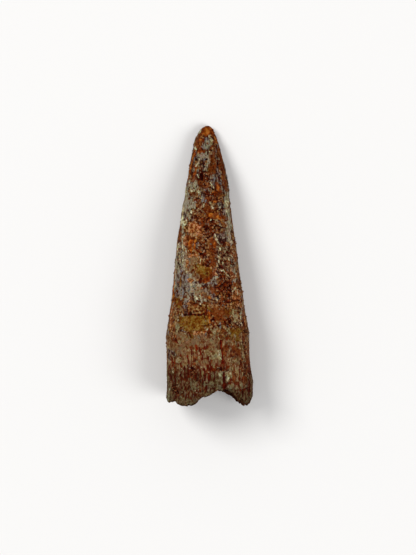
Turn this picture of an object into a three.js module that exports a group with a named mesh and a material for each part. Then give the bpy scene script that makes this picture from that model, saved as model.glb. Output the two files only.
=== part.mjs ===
// A fossil pterosaur tooth: one hollow, slightly recurved cone of enamel and dentine that lies
// on its side. Its tip is worn blunt, its root is broken across, and the break opens the pulp
// cavity. Millimetres. +Y runs from the broken root to the tip, +X across the width and +Z up
// from the surface it lies on. The origin is on that surface, under the middle of the tooth.

import * as THREE from 'three';
import { ImprovedNoise } from 'three/addons/math/ImprovedNoise.js';

// ---- driving dimensions ---------------------------------------------------------------

const toothLength = 42; // from the tip to the longest point of the broken rim
const tipRounding = 1.1; // length of the round end of the tip
const thicknessToWidth = 0.73; // the section is an oval, wider than it is thick
const ovalPower = 2.2; // 2 is an ellipse, more is squarer
const archHeight = 0.55; // gap under the middle, because the tooth is recurved
const archFrom = 4; // the arch springs from just behind the tip ...
const archTo = 35; // ... and ends at the root; distances from the tip
const bedding = 0.12; // how far the underside is worn flat where it rests

const wallAtMouth = 1.15; // dentine left round the mouth of the pulp cavity
const cavityDepth = 16; // from the longest point of the rim to the cavity's end
const cavityBluntness = 1.5; // 1 tapers evenly to a point, more keeps the cavity wide for longer
const rimChamfer = 0.16; // the worn corners of the broken rim
const breakReach = 6; // length of root over which the break's unevenness fades out

const dentDepth = 0.1; // shallow dents and swellings of the weathered surface
const dentSpacing = 3.2;

// Distance of each side from the centre line, at distances from the tip. The crown widens
// evenly, swells at its neck and runs on as a root with nearly straight sides.
const sides = [
  //  from tip, left, right
  [0.0, 1.25, 0.65],
  [1.1, 1.66, 0.75],
  [1.9, 2.1, 1.1],
  [3.4, 2.4, 1.6],
  [5.8, 2.84, 2.25],
  [9.4, 3.44, 2.95],
  [13.6, 4.19, 3.4],
  [19.0, 4.93, 4.15],
  [23.8, 5.36, 4.82],
  [28.6, 5.98, 5.52],
  [31.5, 6.43, 5.95],
  [36.0, 6.3, 6.15],
  [39.0, 6.32, 6.52],
  [42.0, 6.46, 6.56],
];

// Length missing from the broken rim, from the left side (-1) to the right side (1).
const upperBreak = [
  [-1.0, 1.0],
  [-0.95, 0.6],
  [-0.88, 0.8],
  [-0.58, 0.05],
  [-0.38, 0.35],
  [-0.28, 1.0],
  [0.0, 1.75],
  [0.25, 2.45],
  [0.4, 2.65],
  [0.65, 1.75],
  [0.78, 0.95],
  [0.88, 0.6],
  [1.0, 1.4],
];
const lowerBreak = [
  [-1.0, 1.0],
  [-0.7, 1.1],
  [-0.3, 1.5],
  [0.0, 2.2],
  [0.25, 2.4],
  [0.42, 1.95],
  [0.65, 1.0],
  [0.8, 0.05],
  [0.88, 0.0],
  [1.0, 1.4],
];

const segments = 64; // round the tooth
const tipRings = 6;
const bodyRings = 46;
const rootRings = 7;
const cavityRings = 12;

const onAxis = 1e-6; // closer to the centre line than this, a point has no direction from it

// ---- smooth curves through the stations above ------------------------------------------

function smoothThrough(rows, column) {
  const stations = rows.map((row) => row[0]);
  const values = rows.map((row) => row[column]);
  const curve = new THREE.CubicInterpolant(stations, values, 1);
  return (at) => curve.evaluate(THREE.MathUtils.clamp(at, stations[0], stations.at(-1)))[0];
}

const leftSide = smoothThrough(sides, 1);
const rightSide = smoothThrough(sides, 2);
const missingAbove = smoothThrough(upperBreak, 1);
const missingBelow = smoothThrough(lowerBreak, 1);

const halfWidth = (fromTip) => (leftSide(fromTip) + rightSide(fromTip)) / 2;
const centreLine = (fromTip) => (rightSide(fromTip) - leftSide(fromTip)) / 2;

// ---- the plain form: a cone turned on the lathe, with its cavity ------------------------

function outerProfile() {
  const points = [];
  for (let i = 0; i <= tipRings; i++) {
    const turn = (i / tipRings) * (Math.PI / 2);
    const fromTip = tipRounding * (1 - Math.cos(turn));
    points.push([halfWidth(fromTip) * Math.sin(turn), fromTip]);
  }
  const rootStart = toothLength - breakReach;
  for (let i = 1; i <= bodyRings; i++) {
    const fromTip = THREE.MathUtils.lerp(tipRounding, rootStart, i / bodyRings);
    points.push([halfWidth(fromTip), fromTip]);
  }
  for (let i = 1; i <= rootRings; i++) {
    const fromTip = THREE.MathUtils.lerp(rootStart, toothLength - rimChamfer, i / rootRings);
    points.push([halfWidth(fromTip), fromTip]);
  }
  return points;
}

function rimAndCavityProfile() {
  const outer = halfWidth(toothLength);
  const mouth = outer - wallAtMouth;
  const points = [
    [outer - rimChamfer, toothLength],
    [mouth + rimChamfer, toothLength],
  ];
  for (let i = 0; i <= cavityRings; i++) {
    const depth = THREE.MathUtils.lerp(rimChamfer, cavityDepth, i / cavityRings);
    const taper = Math.pow(1 - Math.pow(depth / cavityDepth, cavityBluntness), 0.75);
    points.push([mouth * taper, toothLength - depth]);
  }
  return points;
}

function turnedTooth() {
  // The lathe turns about Y, so the length runs along Y with the tip at 0 and the root below.
  const profile = [...outerProfile(), ...rimAndCavityProfile()].map(
    ([radius, fromTip]) => new THREE.Vector2(radius, -fromTip),
  );
  return new THREE.LatheGeometry(profile.reverse(), segments);
}

// ---- from the turned form to the real one ------------------------------------------------

// The section is an oval whose corners are a little fuller than an ellipse's.
function pressOval(point) {
  const radius = Math.hypot(point.x, point.z);
  if (radius < onAxis) return;
  const across = Math.abs(point.x) / radius;
  const up = Math.abs(point.z) / radius;
  const fuller = Math.pow(across ** ovalPower + up ** ovalPower, -1 / ovalPower);
  point.x *= fuller;
  point.z *= fuller * thicknessToWidth;
}

// The root snapped off unevenly: each side of the wall is shortened by its own amount.
function breakRoot(point) {
  const fromTip = -point.y;
  const intoBreak = (fromTip - (toothLength - breakReach)) / breakReach;
  if (intoBreak <= 0) return;
  const wall = Math.hypot(point.x, point.z / thicknessToWidth);
  if (wall < onAxis) return;
  const across = THREE.MathUtils.clamp(point.x / wall, -1, 1);
  const missing = point.z >= 0 ? missingAbove(across) : missingBelow(across);
  point.y += missing * intoBreak;
}

// Weathering left the wall a little thicker and thinner, and less so where the tooth is thin.
const noise = new ImprovedNoise();

function dent(point) {
  const radius = Math.hypot(point.x, point.z);
  if (radius < onAxis) return;
  const at = point.clone().divideScalar(dentSpacing);
  const depth = dentDepth * Math.min(radius / dentSpacing, 1);
  const swell = 1 + (depth * noise.noise(at.x, at.y, at.z)) / radius;
  point.x *= swell;
  point.z *= swell;
}

// The tooth rests on its side: the tip and the root touch the surface and the middle arches.
// The round end of the tip stays centred on the section behind it.
function lieDown(point, fromTip) {
  const span = THREE.MathUtils.clamp((fromTip - archFrom) / (archTo - archFrom), 0, 1);
  const arch = archHeight * 4 * span * (1 - span);
  const thickness = halfWidth(Math.max(fromTip, tipRounding)) * thicknessToWidth;
  point.x += centreLine(fromTip);
  point.z = Math.max(point.z + thickness + arch - bedding, 0);
}

function shapeTooth(geometry) {
  const position = geometry.attributes.position;
  const point = new THREE.Vector3();
  for (let i = 0; i < position.count; i++) {
    point.fromBufferAttribute(position, i);
    const fromTip = -point.y;
    pressOval(point);
    breakRoot(point);
    dent(point);
    lieDown(point, fromTip);
    position.setXYZ(i, point.x, point.y, point.z);
  }
  geometry.computeBoundingBox();
  const middle = geometry.boundingBox.getCenter(new THREE.Vector3());
  geometry.translate(-middle.x, -middle.y, -geometry.boundingBox.min.z);
  geometry.computeVertexNormals();
}

// ---- the tooth ---------------------------------------------------------------------------

const toothGeometry = turnedTooth();
shapeTooth(toothGeometry);

const fossil = new THREE.MeshStandardMaterial({ color: 0x7a4d2c, roughness: 0.6, metalness: 0 });
const tooth = new THREE.Mesh(toothGeometry, fossil);
tooth.name = 'tooth';

const part = new THREE.Group();
part.add(tooth);

export default part;
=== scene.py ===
import math
import random
from dataclasses import dataclass

import bmesh
import bpy
import numpy as np
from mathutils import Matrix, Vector
from mathutils.bvhtree import BVHTree
from mathutils.noise import noise_vector, seed_set


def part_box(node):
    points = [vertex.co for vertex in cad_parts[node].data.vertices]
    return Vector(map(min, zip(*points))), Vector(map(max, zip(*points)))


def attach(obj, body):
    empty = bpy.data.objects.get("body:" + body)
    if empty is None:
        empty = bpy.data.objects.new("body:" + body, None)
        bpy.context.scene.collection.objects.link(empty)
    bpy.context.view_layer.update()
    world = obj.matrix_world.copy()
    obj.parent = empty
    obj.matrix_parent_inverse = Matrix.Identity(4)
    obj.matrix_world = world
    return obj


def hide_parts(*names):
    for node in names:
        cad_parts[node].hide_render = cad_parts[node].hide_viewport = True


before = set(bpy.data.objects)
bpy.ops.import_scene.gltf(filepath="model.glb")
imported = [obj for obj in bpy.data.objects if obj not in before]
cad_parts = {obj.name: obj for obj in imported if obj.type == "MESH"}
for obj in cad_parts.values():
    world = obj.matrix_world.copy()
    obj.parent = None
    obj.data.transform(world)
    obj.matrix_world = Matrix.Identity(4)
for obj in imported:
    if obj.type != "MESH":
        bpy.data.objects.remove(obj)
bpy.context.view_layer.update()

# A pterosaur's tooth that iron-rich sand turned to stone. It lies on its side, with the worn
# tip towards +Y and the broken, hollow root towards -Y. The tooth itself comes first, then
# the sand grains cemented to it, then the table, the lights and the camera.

# ------------------------------------------------------------------ the tooth: its fine skin
# One hollow cone of dentine with an enamel cap, grown in one piece. The solid's coarse skin
# is joined up into quads and subdivided, so that grooves and chips have points to move.

MM = 0.001
WELD = 0.002 * MM
SKIN_LEVELS = 2
root_y, tip_y = (corner.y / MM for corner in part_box("tooth"))


def joined_skin(node, name):
    """A copy of a CAD solid whose loose triangles are welded and paired into quads."""
    skin = bmesh.new()
    skin.from_mesh(node.data)
    bmesh.ops.remove_doubles(skin, verts=skin.verts, dist=WELD)
    bmesh.ops.join_triangles(
        skin,
        faces=skin.faces,
        angle_face_threshold=math.pi,
        angle_shape_threshold=math.pi,
    )
    mesh = bpy.data.meshes.new(name)
    skin.to_mesh(mesh)
    skin.free()
    carried_over = [value.name for value in mesh.attributes if not value.is_required]
    for value_name in carried_over:
        if not value_name.startswith("."):
            mesh.attributes.remove(mesh.attributes[value_name])
    mesh.materials.clear()
    return mesh


def as_plain_mesh(thing, name):
    """What an object's modifiers make of it, as a mesh with no modifiers left."""
    bpy.context.view_layer.update()
    shown = thing.evaluated_get(bpy.context.evaluated_depsgraph_get())
    mesh = bpy.data.meshes.new_from_object(shown)
    mesh.name = name
    return mesh


def place(mesh, name):
    """Puts a mesh into the scene as a piece of its own, at the origin."""
    thing = bpy.data.objects.new(name, mesh)
    bpy.context.scene.collection.objects.link(thing)
    return thing


fossil = place(joined_skin(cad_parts["tooth"], "coarse skin"), "fossil_tooth")
finer = fossil.modifiers.new("finer skin", "SUBSURF")
finer.levels = SKIN_LEVELS
finer.render_levels = SKIN_LEVELS
skin = as_plain_mesh(fossil, "fine skin")
fossil.modifiers.remove(finer)
fossil.data = skin


def faces_of(mesh):
    """A mesh's faces, ready for finding the nearest place on them or what a ray hits."""
    corners = [point.co for point in mesh.vertices]
    return BVHTree.FromPolygons(corners, [face.vertices[:] for face in mesh.polygons])


def read(mesh, collection, field):
    """One three-number value of every point of a mesh, as an array."""
    values = np.empty(len(mesh.vertices) * 3, np.float32)
    getattr(mesh, collection).foreach_get(field, values)
    return values.reshape(-1, 3).astype(float)


def store(mesh, name, values):
    """Keeps a number, or three, for every point of a mesh, for its relief and its colour."""
    kind = "FLOAT_VECTOR" if values.ndim == 2 else "FLOAT"
    field = "vector" if values.ndim == 2 else "value"
    attribute = mesh.attributes.new(name, kind, "POINT")
    attribute.data.foreach_set(field, np.ascontiguousarray(values, np.float32).ravel())


# Smoothing pulls in the blunt tip and the broken rim, so their points are put back on the solid.
TIP_REACH = 3.0
RIM_REACH = 3.5
solid = faces_of(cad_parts["tooth"].data)
for point in skin.vertices:
    if not root_y + RIM_REACH < point.co.y / MM < tip_y - TIP_REACH:
        point.co = solid.find_nearest(point.co)[0]
skin.update()

places = read(skin, "vertices", "co") / MM
facing = read(skin, "vertex_normals", "vector")
from_tip = tip_y - places[:, 1]

# The tooth straightened into an even rod: grooves and grain run along it and round it. Its
# section is measured at stations a millimetre apart, on the points near each of them.
ROD_RADIUS = 5.0
STATION_REACH = 0.6
stations = np.arange(0.5, 38.5, 1.0)
rings = [places[np.abs(from_tip - station) < STATION_REACH] for station in stations]
low = np.array([ring.min(axis=0) for ring in rings])
high = np.array([ring.max(axis=0) for ring in rings])
middles = (low + high) / 2
halves = (high - low) / 2


def across_section(axis):
    """Where every point lies across its section, from -1 at one side to 1 at the other."""
    middle, half = (np.interp(from_tip, stations, sizes[:, axis]) for sizes in (middles, halves))
    return (places[:, axis] - middle) / half


rod_x = across_section(0)
rod_z = across_section(2)
store(skin, "place", places)
store(skin, "rod", np.stack([rod_x * ROD_RADIUS, from_tip, rod_z * ROD_RADIUS], axis=1))
store(skin, "from_tip", from_tip)

# The pulp cavity's wall faces the tooth's middle; everything else faces away from it.
CAVITY_FROM = 20.0  # the cavity ends short of this distance from the tip
CAVITY_EDGE = 4.0  # more is a sharper change from outside to inside
MIDDLE = 0.01  # nearer to the middle than this, a point has no direction from it
from_middle = np.maximum(np.hypot(rod_x, rod_z), MIDDLE)
faces_out = (rod_x * facing[:, 0] + rod_z * facing[:, 2]) / from_middle
inside = np.clip(0.5 - CAVITY_EDGE * faces_out, 0, 1)
store(skin, "inside", inside * (from_tip > CAVITY_FROM))

# How far the root's skin lies from the broken rim, which faces backwards. Every fourth point
# of the rim is close enough to the others to stand for them.
RIM_FACING = -0.6
RIM_FROM = 38.0
NEAR_BREAK = 34.0
FAR = 99.0
rim = places[(facing[:, 1] < RIM_FACING) & (from_tip > RIM_FROM)][::4]
near_break = from_tip > NEAR_BREAK
to_break = np.full(len(places), FAR)
gaps = places[near_break][:, None, :] - rim[None, :, :]
to_break[near_break] = np.sqrt((gaps**2).sum(axis=2).min(axis=1))
store(skin, "to_break", to_break)

# ------------------------------------------------------------------ the tooth: its marks
# Stains and damage left by burial and digging. A stroke is its half width, then the places it
# runs through, each across from the tooth's middle and back from its tip, in millimetres. A
# kind of mark covers its strokes surely, with a ragged edge, and turns up elsewhere by chance.


@dataclass
class Mark:
    """One kind of mark: where it lies, how raggedly, how high it stands and what colours it has."""

    strokes: tuple
    colours: tuple
    hidden: tuple  # on the underside: how many, half widths, lengths, stretch of tooth
    lump: float = 0.7  # size of its ragged lumps
    fade: float = 0.5  # width over which its edge wanders
    sure: float = 0.16  # how surely it covers its strokes
    rare: tuple = (0.16, 0.16)  # how rarely it turns up elsewhere, on the crown and on the root
    soft: float = 0.015  # softness of its edge
    # The outline is dirt together with painted shade in the step round a mark's edge.
    outline: float = 0.0  # how much dirt lies round its edge
    height: float = 0.0
    grain: float = 0.32  # size of its own mottling
    spread: float = 0.09  # less is a stronger mottling
    flecks: float = 0.17  # how much its separate flecks differ
    streaky: bool = False  # drawn out along the tooth
    granular: bool = False  # made of separate sand grains
    strength: float = 0.95


marks = {}

# Umber: the darkest bare dentine, where the enamel came off first.
marks["umber"] = Mark(
    strokes=(
        (0.3, (-1.0, 5.3), (-1.1, 6.6)), (0.16, (-2.6, 5.8), (-2.5, 7.0)),
        (0.45, (-1.2, 6.8), (-1.2, 8.0)), (0.35, (-1.0, 7.0), (-0.6, 7.9)),
        (0.4, (-0.5, 7.1), (-0.4, 8.2)), (0.3, (-0.2, 7.8), (0.1, 8.4)),
        (0.35, (-0.4, 10.3), (0.0, 11.2)), (0.35, (-2.6, 10.4), (-2.2, 10.7)),
        (0.5, (-1.7, 11.6), (-1.5, 13.2)), (0.4, (1.8, 12.6), (1.9, 13.2)),
        (0.7, (-0.3, 14.6), (-0.2, 15.8)), (0.5, (1.7, 17.3), (2.5, 17.7)),
        (0.5, (-1.4, 18.0), (-0.9, 19.4)), (0.5, (2.6, 18.4), (1.9, 19.8), (2.0, 21.2)),
        (0.35, (-0.9, 19.0), (-0.5, 19.8)), (0.8, (2.2, 22.8), (2.0, 24.8)),
        (0.35, (4.2, 23.0), (4.4, 23.6)), (0.3, (4.5, 23.1), (4.6, 24.0)),
        (0.6, (3.0, 23.2), (2.9, 25.6)), (0.3, (2.2, 29.4), (3.8, 29.8)), (0.2, (4.6, 29.8), (5.0, 30.4)),
        (0.2, (-6.2, 33.8), (-6.2, 35.0)), (0.45, (5.8, 34.0), (5.9, 36.8)),
        (0.25, (5.5, 34.9), (5.5, 35.7)), (0.45, (5.2, 35.2), (5.4, 37.4)),
        (0.25, (4.9, 35.3), (5.1, 36.8)), (0.3, (5.2, 35.4), (5.3, 36.0)),
        (0.25, (1.0, 36.3), (1.9, 36.4)), (0.4, (-2.5, 36.6), (-2.2, 37.6)),
        (0.4, (-5.3, 38.8), (-5.0, 39.8)),
    ),
    hidden=(24, (0.3, 0.8), (0.4, 2.6), (3.0, 39.0)),
    sure=0.18, rare=(0.1, 0.2), height=-0.05, grain=0.35, strength=0.9,
    colours=((42, 6, 0), (60, 22, 6), (74, 36, 14), (92, 54, 32)),
)

# Rust: flecks and cracks of dark red iron oxide, drawn out along the root.
marks["rust"] = Mark(
    strokes=(
        (0.14, (-0.8, 2.0), (-0.7, 2.3)), (0.14, (0.2, 3.1), (0.4, 3.1)), (0.16, (1.0, 3.1), (1.2, 3.3)),
        (0.2, (-1.3, 3.2), (-1.1, 3.5)), (0.2, (-1.4, 3.9), (-0.9, 4.0)),
        (0.12, (-2.4, 8.7), (-2.0, 8.9)), (0.1, (-2.7, 9.2), (-2.6, 9.6)),
        (0.1, (-2.2, 9.4), (-2.1, 9.7)), (0.12, (-2.4, 21.6), (-2.4, 22.6)),
        (0.12, (-2.4, 22.2), (-2.45, 22.8)), (0.2, (-1.7, 23.1), (-1.0, 23.3)),
        (0.16, (3.9, 25.8), (4.6, 25.9)), (0.3, (1.4, 28.4), (2.2, 28.9)),
        (0.3, (0.5, 29.2), (0.7, 30.0)), (0.2, (2.4, 29.5), (3.0, 29.9)),
        (0.14, (0.5, 30.5), (0.6, 30.7)), (0.12, (2.6, 31.8), (2.8, 31.9)),
        (0.12, (-2.2, 32.5), (-2.0, 33.6)), (0.1, (-2.9, 32.8), (-2.8, 33.4)),
        (0.12, (-1.6, 32.8), (-1.5, 33.5)), (0.14, (-0.9, 32.8), (-0.6, 33.5)),
        (0.14, (-2.3, 34.4), (-2.0, 35.0)), (0.12, (-3.2, 35.4), (-3.2, 37.6)),
        (0.12, (-5.7, 36.0), (-5.7, 38.0)), (0.12, (-4.2, 36.0), (-4.2, 37.8)),
        (0.12, (-5.2, 36.2), (-5.2, 37.6)), (0.16, (0.3, 36.5), (0.7, 36.3)),
        (0.2, (-2.4, 37.0), (-2.1, 37.6)), (0.18, (-3.7, 37.5), (-3.5, 38.1)),
        (0.12, (0.75, 38.0), (0.8, 39.4)), (0.2, (-0.9, 38.3), (-0.8, 39.2)),
        (0.14, (-3.2, 39.2), (-3.1, 39.8)), (0.16, (-1.3, 39.6), (-0.5, 39.8)),
        (0.14, (-3.8, 40.5), (-3.7, 40.8)),
    ),
    hidden=(26, (0.1, 0.16), (0.3, 1.8), (30.0, 39.5)),
    lump=0.36, fade=0.15, sure=0.24, rare=(0.09, 0.06), height=-0.04, streaky=True, strength=0.9,
    colours=((58, 12, 0), (84, 28, 3), (104, 46, 10)),
)

# Lilac: the thin grey-mauve remains of enamel, in streaks.
marks["lilac"] = Mark(
    strokes=(
        (0.16, (-0.45, 1.9), (-0.35, 2.4)), (0.22, (-0.6, 3.2), (-0.4, 3.6)),
        (0.2, (-0.9, 4.8), (-1.2, 5.0)), (0.15, (-1.8, 6.8), (-1.8, 7.4)),
        (0.35, (0.95, 7.4), (1.1, 8.4)), (0.25, (0.7, 8.4), (0.8, 8.7)), (0.2, (2.5, 9.2), (2.6, 9.8)),
        (0.3, (-0.6, 9.6), (-0.3, 10.2)), (0.18, (-0.5, 9.9), (-0.3, 10.1)),
        (0.2, (-1.1, 10.3), (-0.7, 11.0)), (0.2, (1.1, 11.8), (1.5, 12.2)),
        (0.2, (2.3, 16.2), (2.6, 16.9)), (0.25, (-4.0, 18.6), (-4.0, 20.0)),
        (0.3, (-4.6, 21.0), (-4.5, 22.6)), (0.25, (-4.0, 21.8), (-4.1, 23.6)),
        (0.4, (-3.3, 22.4), (-3.3, 25.2)), (0.25, (1.0, 22.8), (0.9, 23.8)),
        (0.3, (-4.7, 23.2), (-4.7, 25.2)), (0.3, (-4.1, 23.6), (-4.1, 25.4)),
        (0.3, (-1.2, 23.7), (-0.3, 24.0)), (0.25, (-2.45, 24.0), (-2.5, 25.9)),
        (0.25, (-0.1, 24.6), (0.2, 25.5)), (0.25, (-3.5, 26.0), (-3.45, 26.7)),
    ),
    hidden=(26, (0.25, 0.5), (0.4, 2.6), (2.0, 33.0)),
    lump=0.5, sure=0.22, rare=(0.1, 0.17), outline=0.4, height=0.05, streaky=True,
    colours=((62, 36, 28), (88, 70, 59), (110, 95, 82), (132, 120, 103), (98, 93, 92)),
)

# Enamel: pale grey and cream, smooth, mostly along the two edges of the crown. Where it hugs
# the crown's left edge, and near 11 to 12 mm back on the right, it is also painted light.
marks["enamel"] = Mark(
    strokes=(
        (0.2, (-0.45, 2.7), (-0.2, 3.0)), (0.2, (-0.4, 4.6), (0.1, 4.1)),
        (0.24, (-1.3, 4.5), (-0.4, 4.7)), (0.15, (-0.05, 5.3), (0.0, 6.0)),
        (0.22, (-0.5, 5.9), (-0.45, 6.5)), (0.35, (-2.7, 8.6), (-2.5, 9.6)),
        (0.3, (-2.1, 8.6), (-2.1, 9.5)), (0.24, (-3.35, 9.2), (-3.4, 10.2)),
        (0.15, (2.65, 9.8), (2.8, 10.8)), (0.25, (-3.2, 9.9), (-3.2, 10.8)),
        (0.5, (-3.3, 10.8), (-3.2, 12.4)), (0.4, (2.45, 11.0), (2.55, 12.6)),
        (0.4, (-2.7, 11.1), (-2.7, 12.3)), (0.3, (-3.9, 11.4), (-4.0, 12.8)),
        (0.3, (-3.8, 12.4), (-3.9, 13.8)), (0.35, (-3.7, 12.4), (-4.0, 14.4)),
        (0.3, (-3.3, 12.8), (-3.2, 13.8)), (0.28, (2.8, 12.9), (2.9, 14.0)),
        (0.4, (-4.0, 14.3), (-3.9, 15.0)), (0.3, (2.4, 14.4), (2.6, 15.8)),
        (0.38, (2.8, 14.5), (3.0, 15.8)), (0.28, (-3.95, 15.2), (-4.0, 17.2)),
        (0.38, (3.0, 16.0), (3.1, 17.3)), (0.2, (-3.9, 17.8), (-3.9, 18.6)),
        (0.3, (-4.5, 17.9), (-4.5, 19.0)), (0.35, (-4.7, 18.0), (-4.75, 19.4)),
        (0.14, (-3.5, 19.4), (-3.4, 20.3)), (0.25, (-4.5, 19.6), (-4.5, 20.6)),
        (0.28, (-3.8, 19.8), (-3.8, 21.2)), (0.3, (-5.0, 20.2), (-5.0, 21.6)),
        (0.3, (3.6, 20.2), (3.6, 21.6)), (0.2, (-4.6, 20.9), (-4.6, 21.8)),
        (0.16, (-3.3, 21.0), (-3.1, 22.0)), (0.25, (-3.4, 21.7), (-3.1, 21.8)),
        (0.35, (-5.1, 22.2), (-5.2, 24.2)), (0.2, (3.9, 22.3), (3.8, 23.0)),
        (0.2, (-2.8, 22.4), (-2.6, 23.1)), (0.18, (1.2, 22.4), (1.0, 23.1)),
        (0.25, (-2.7, 23.8), (-2.65, 24.5)), (0.25, (-1.7, 24.0), (-1.4, 24.2)),
        (0.3, (-1.0, 24.8), (-1.5, 25.1)), (0.2, (-2.0, 25.0), (-1.9, 25.6)),
        (0.2, (-3.2, 25.4), (-3.1, 26.2)), (0.25, (-1.3, 25.5), (-0.9, 26.1)),
        (0.14, (4.5, 27.3), (4.75, 28.2)),
    ),
    hidden=(24, (0.3, 0.6), (0.8, 4.0), (3.0, 30.0)),
    sure=0.26, rare=(0.15, 0.25), outline=0.4, height=0.07, spread=0.11, flecks=0.16, streaky=True,
    colours=((92, 70, 54), (112, 98, 80), (127, 115, 95), (144, 134, 113), (119, 104, 88)),
)

# Bone: patches of pale dentine on the root. The thin stroke along the far left edge, 36 to
# 38.4 mm back, is a painted highlight.
marks["bone"] = Mark(
    strokes=(
        (0.5, (3.65, 27.9), (3.8, 28.8)), (0.3, (-4.8, 30.1), (-4.7, 30.8)),
        (0.35, (2.5, 30.3), (2.9, 30.9)), (0.2, (1.2, 30.4), (1.2, 31.0)),
        (0.3, (0.5, 30.5), (0.8, 30.8)), (0.35, (1.8, 31.0), (1.9, 31.7)),
        (0.35, (3.4, 31.3), (3.6, 31.8)), (0.25, (0.6, 32.1), (0.8, 32.6)),
        (0.25, (4.7, 33.1), (4.8, 33.4)), (0.25, (1.25, 33.8), (1.5, 34.8)),
        (0.45, (0.3, 34.0), (0.7, 34.5)), (0.3, (4.9, 34.6), (5.1, 34.2)),
        (0.25, (-4.8, 34.3), (-4.5, 35.0)), (0.2, (3.9, 34.7), (4.1, 35.3)),
        (0.14, (-6.3, 36.0), (-6.3, 38.4)), (0.32, (2.75, 36.9), (2.8, 38.1)),
        (0.32, (1.45, 37.0), (1.6, 38.2)), (0.15, (5.7, 38.2), (5.6, 38.9)),
        (0.35, (-2.7, 38.3), (-2.3, 39.0)), (0.4, (1.4, 38.4), (1.5, 39.3)),
        (0.2, (4.7, 38.6), (4.8, 39.2)), (0.25, (0.2, 38.7), (0.5, 38.9)),
        (0.3, (2.8, 38.95), (3.1, 39.2)), (0.4, (-6.0, 39.7), (-6.0, 41.1)),
        (0.3, (-6.1, 40.2), (-6.1, 41.2)), (0.2, (6.0, 40.4), (5.75, 41.1), (5.4, 41.6)),
        (0.3, (-4.4, 41.2), (-2.7, 41.4)),
    ),
    hidden=(16, (0.25, 0.5), (0.4, 1.6), (31.0, 39.5)),
    lump=0.45, sure=0.24, rare=(0.25, 0.13), outline=0.4, height=0.05, grain=0.35, streaky=True,
    strength=0.85,
    colours=((88, 60, 34), (110, 86, 56), (126, 108, 78), (146, 132, 102), (106, 92, 68)),
)

# Tan: smooth light brown skin under the enamel, and the band at the crown's foot.
marks["tan"] = Mark(
    strokes=(
        (0.35, (-3.4, 19.4), (-3.4, 21.6)), (0.35, (-1.9, 19.9), (-1.9, 20.3)),
        (0.55, (-2.6, 20.0), (-2.6, 21.3)), (0.35, (-2.2, 21.9), (-1.9, 22.9)),
        (0.2, (0.05, 24.1), (0.1, 24.8)), (0.4, (-1.7, 24.8), (-0.7, 25.3)),
        (0.4, (-1.2, 25.0), (-0.6, 25.6)), (0.3, (-0.2, 26.2), (0.0, 26.6)),
        (0.3, (-5.7, 27.2), (-5.8, 28.2)), (0.3, (-5.2, 27.4), (-5.4, 28.8)),
        (0.3, (-4.6, 27.5), (-4.0, 27.7)), (0.12, (-4.8, 28.4), (-4.75, 29.8)),
        (0.25, (2.4, 28.6), (1.7, 29.0)), (0.4, (-4.9, 31.2), (-3.6, 31.4)),
        (0.5, (-5.8, 31.4), (-5.6, 33.0)), (0.8, (-3.6, 32.2), (-0.8, 32.2), (0.6, 32.4)),
        (0.3, (2.6, 32.4), (3.3, 33.1)), (0.5, (-0.4, 34.0), (0.4, 33.2)),
        (0.6, (-5.2, 33.4), (-3.8, 33.6)), (0.3, (2.7, 33.4), (2.9, 34.2)),
        (0.3, (3.9, 34.6), (4.1, 35.2)), (0.5, (-3.4, 35.3), (-0.6, 35.4)),
        (0.4, (0.6, 35.4), (1.3, 35.6)),
    ),
    hidden=(14, (0.3, 0.8), (0.4, 2.0), (12.0, 36.0)),
    sure=0.2, rare=(0.2, 0.2), grain=0.35, spread=0.1, flecks=0.26, streaky=True, strength=0.72,
    colours=((84, 48, 26), (102, 72, 46), (110, 84, 57), (120, 96, 71), (104, 84, 62)),
)

# Salmon: a pinkish orange skin, stained enamel worn thin.
marks["salmon"] = Mark(
    strokes=(
        (0.14, (-1.8, 2.6), (-1.6, 3.0)), (0.2, (-1.5, 3.8), (-1.2, 3.8)),
        (0.1, (-1.1, 13.0), (-1.1, 13.6)), (0.12, (-1.05, 14.4), (-1.0, 15.6)),
        (0.55, (-2.7, 15.0), (-1.7, 15.2)), (0.55, (-2.6, 15.9), (-1.5, 16.1)),
        (0.25, (-3.6, 16.8), (-3.5, 17.8)), (0.25, (3.6, 17.8), (3.7, 18.8)),
        (0.2, (3.6, 19.2), (3.8, 20.2)), (0.07, (-3.0, 19.6), (-2.4, 19.3), (-1.7, 19.5)),
        (0.1, (-1.7, 19.5), (-1.35, 19.9), (-1.3, 20.7)), (0.14, (-3.4, 20.2), (-3.4, 21.0)),
        (0.3, (0.6, 21.2), (0.9, 22.2)), (0.3, (2.9, 21.6), (3.5, 22.6)),
        (0.25, (2.6, 22.3), (2.8, 22.6)), (0.2, (-2.9, 23.0), (-2.5, 23.3)),
        (0.35, (3.9, 24.0), (4.1, 25.0)), (0.35, (4.3, 24.8), (4.5, 25.9)),
        (0.25, (3.6, 25.4), (3.9, 26.2)), (0.3, (3.9, 26.4), (4.6, 27.0)),
        (0.2, (-5.7, 27.2), (-5.8, 29.6)), (0.2, (5.1, 28.0), (5.3, 30.0)),
        (0.3, (-5.5, 28.6), (-5.7, 30.4)), (0.2, (-0.5, 30.3), (-0.3, 30.5)),
        (0.1, (-0.6, 30.8), (-0.35, 30.4)), (0.1, (-2.2, 31.1), (-1.3, 30.95), (-0.6, 30.8)),
    ),
    hidden=(14, (0.3, 0.7), (0.4, 2.0), (8.0, 38.0)),
    lump=0.5, fade=0.3, sure=0.26, rare=(0.17, 0.2), outline=0.1, strength=0.85,
    colours=((96, 42, 12), (122, 70, 32), (136, 86, 48), (146, 100, 64), (158, 120, 88)),
)

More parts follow.
